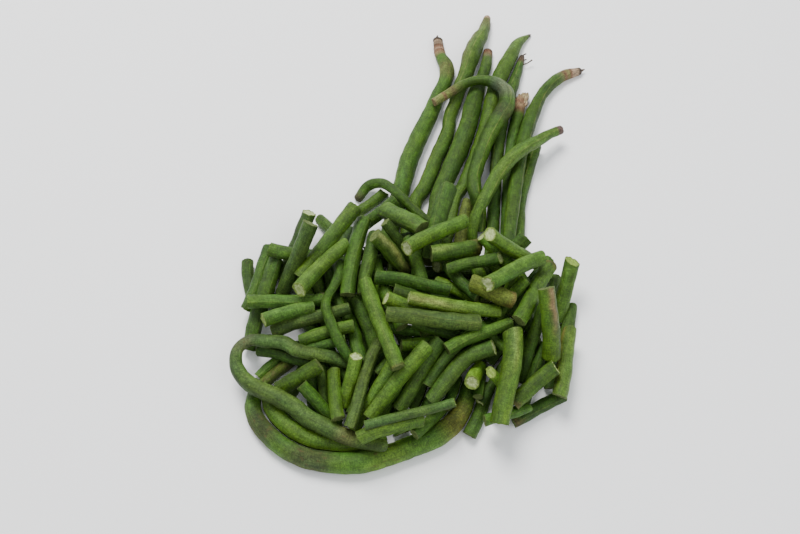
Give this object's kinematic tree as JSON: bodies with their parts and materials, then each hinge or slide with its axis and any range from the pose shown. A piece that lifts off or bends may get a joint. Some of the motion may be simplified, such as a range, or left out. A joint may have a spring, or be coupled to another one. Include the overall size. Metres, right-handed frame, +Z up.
{
  "type": "green bean bunch",
  "caption": "Heaped bunch of green yardlong beans: uncut ones trail behind and curl round a mound of cut lengths, all lying on a surface.",
  "frame": {"origin": "on the surface that the bunch lies on, below the middle of its outline", "axes": "+Z up, +Y from the curled front towards the tips of the trailing beans"},
  "size_m": [0.2108, 0.317, 0.0517],
  "materials": {
    "bent_long_bean": "matte green bean skin",
    "buried_long_bean": "matte green bean skin",
    "crossing_long_bean": "matte green bean skin",
    "curved_bean": "matte green bean skin",
    "cuts_01": "matte green bean skin",
    "cuts_02": "matte green bean skin",
    "cuts_03": "matte green bean skin",
    "cuts_04": "matte green bean skin",
    "cuts_05": "matte green bean skin",
    "cuts_06": "matte green bean skin",
    "cuts_07": "matte green bean skin",
    "cuts_08": "matte green bean skin",
    "cuts_09": "matte green bean skin",
    "cuts_10": "matte green bean skin",
    "cuts_11": "matte green bean skin",
    "cuts_12": "matte green bean skin",
    "cuts_13": "matte green bean skin",
    "cuts_14": "matte green bean skin",
    "cuts_15": "matte green bean skin",
    "cuts_16": "matte green bean skin",
    "cuts_17": "matte green bean skin",
    "cuts_18": "matte green bean skin",
    "cuts_19": "matte green bean skin",
    "cuts_20": "matte green bean skin",
    "cuts_21": "matte green bean skin",
    "cuts_22": "matte green bean skin",
    "cuts_23": "matte green bean skin",
    "cuts_24": "matte green bean skin",
    "cuts_25": "matte green bean skin",
    "cuts_26": "matte green bean skin",
    "cuts_27": "matte green bean skin",
    "cuts_28": "matte green bean skin",
    "cuts_29": "matte green bean skin",
    "cuts_30": "matte green bean skin",
    "hairpin_bean": "matte green bean skin",
    "hook_bean": "matte green bean skin",
    "hooked_long_bean": "matte green bean skin",
    "inner_cuts_01": "matte green bean skin",
    "inner_cuts_02": "matte green bean skin",
    "inner_cuts_03": "matte green bean skin",
    "inner_cuts_04": "matte green bean skin",
    "inner_cuts_05": "matte green bean skin",
    "inner_cuts_06": "matte green bean skin",
    "inner_cuts_07": "matte green bean skin",
    "inner_front_bean": "matte green bean skin",
    "left_long_bean": "matte green bean skin",
    "middle_long_bean": "matte green bean skin",
    "outer_front_bean": "matte green bean skin",
    "pointed_long_bean": "matte green bean skin",
    "tall_long_bean": "matte green bean skin",
    "tapering_bean": "matte green bean skin",
    "thin_long_bean": "matte green bean skin",
    "twisted_bean": "matte green bean skin",
    "withered_long_bean": "matte green bean skin"
  },
  "bodies": {
    "root": {"bent_long_bean": "bent_long_bean", "buried_long_bean": "buried_long_bean", "crossing_long_bean": "crossing_long_bean", "curved_bean": "curved_bean", "cuts_01": "cuts_01", "cuts_02": "cuts_02", "cuts_03": "cuts_03", "cuts_04": "cuts_04", "cuts_05": "cuts_05", "cuts_06": "cuts_06", "cuts_07": "cuts_07", "cuts_08": "cuts_08", "cuts_09": "cuts_09", "cuts_10": "cuts_10", "cuts_11": "cuts_11", "cuts_12": "cuts_12", "cuts_13": "cuts_13", "cuts_14": "cuts_14", "cuts_15": "cuts_15", "cuts_16": "cuts_16", "cuts_17": "cuts_17", "cuts_18": "cuts_18", "cuts_19": "cuts_19", "cuts_20": "cuts_20", "cuts_21": "cuts_21", "cuts_22": "cuts_22", "cuts_23": "cuts_23", "cuts_24": "cuts_24", "cuts_25": "cuts_25", "cuts_26": "cuts_26", "cuts_27": "cuts_27", "cuts_28": "cuts_28", "cuts_29": "cuts_29", "cuts_30": "cuts_30", "hairpin_bean": "hairpin_bean", "hook_bean": "hook_bean", "hooked_long_bean": "hooked_long_bean", "inner_cuts_01": "inner_cuts_01", "inner_cuts_02": "inner_cuts_02", "inner_cuts_03": "inner_cuts_03", "inner_cuts_04": "inner_cuts_04", "inner_cuts_05": "inner_cuts_05", "inner_cuts_06": "inner_cuts_06", "inner_cuts_07": "inner_cuts_07", "inner_front_bean": "inner_front_bean", "left_long_bean": "left_long_bean", "middle_long_bean": "middle_long_bean", "outer_front_bean": "outer_front_bean", "pointed_long_bean": "pointed_long_bean", "tall_long_bean": "tall_long_bean", "tapering_bean": "tapering_bean", "thin_long_bean": "thin_long_bean", "twisted_bean": "twisted_bean", "withered_long_bean": "withered_long_bean"}
  },
  "joints": []
}
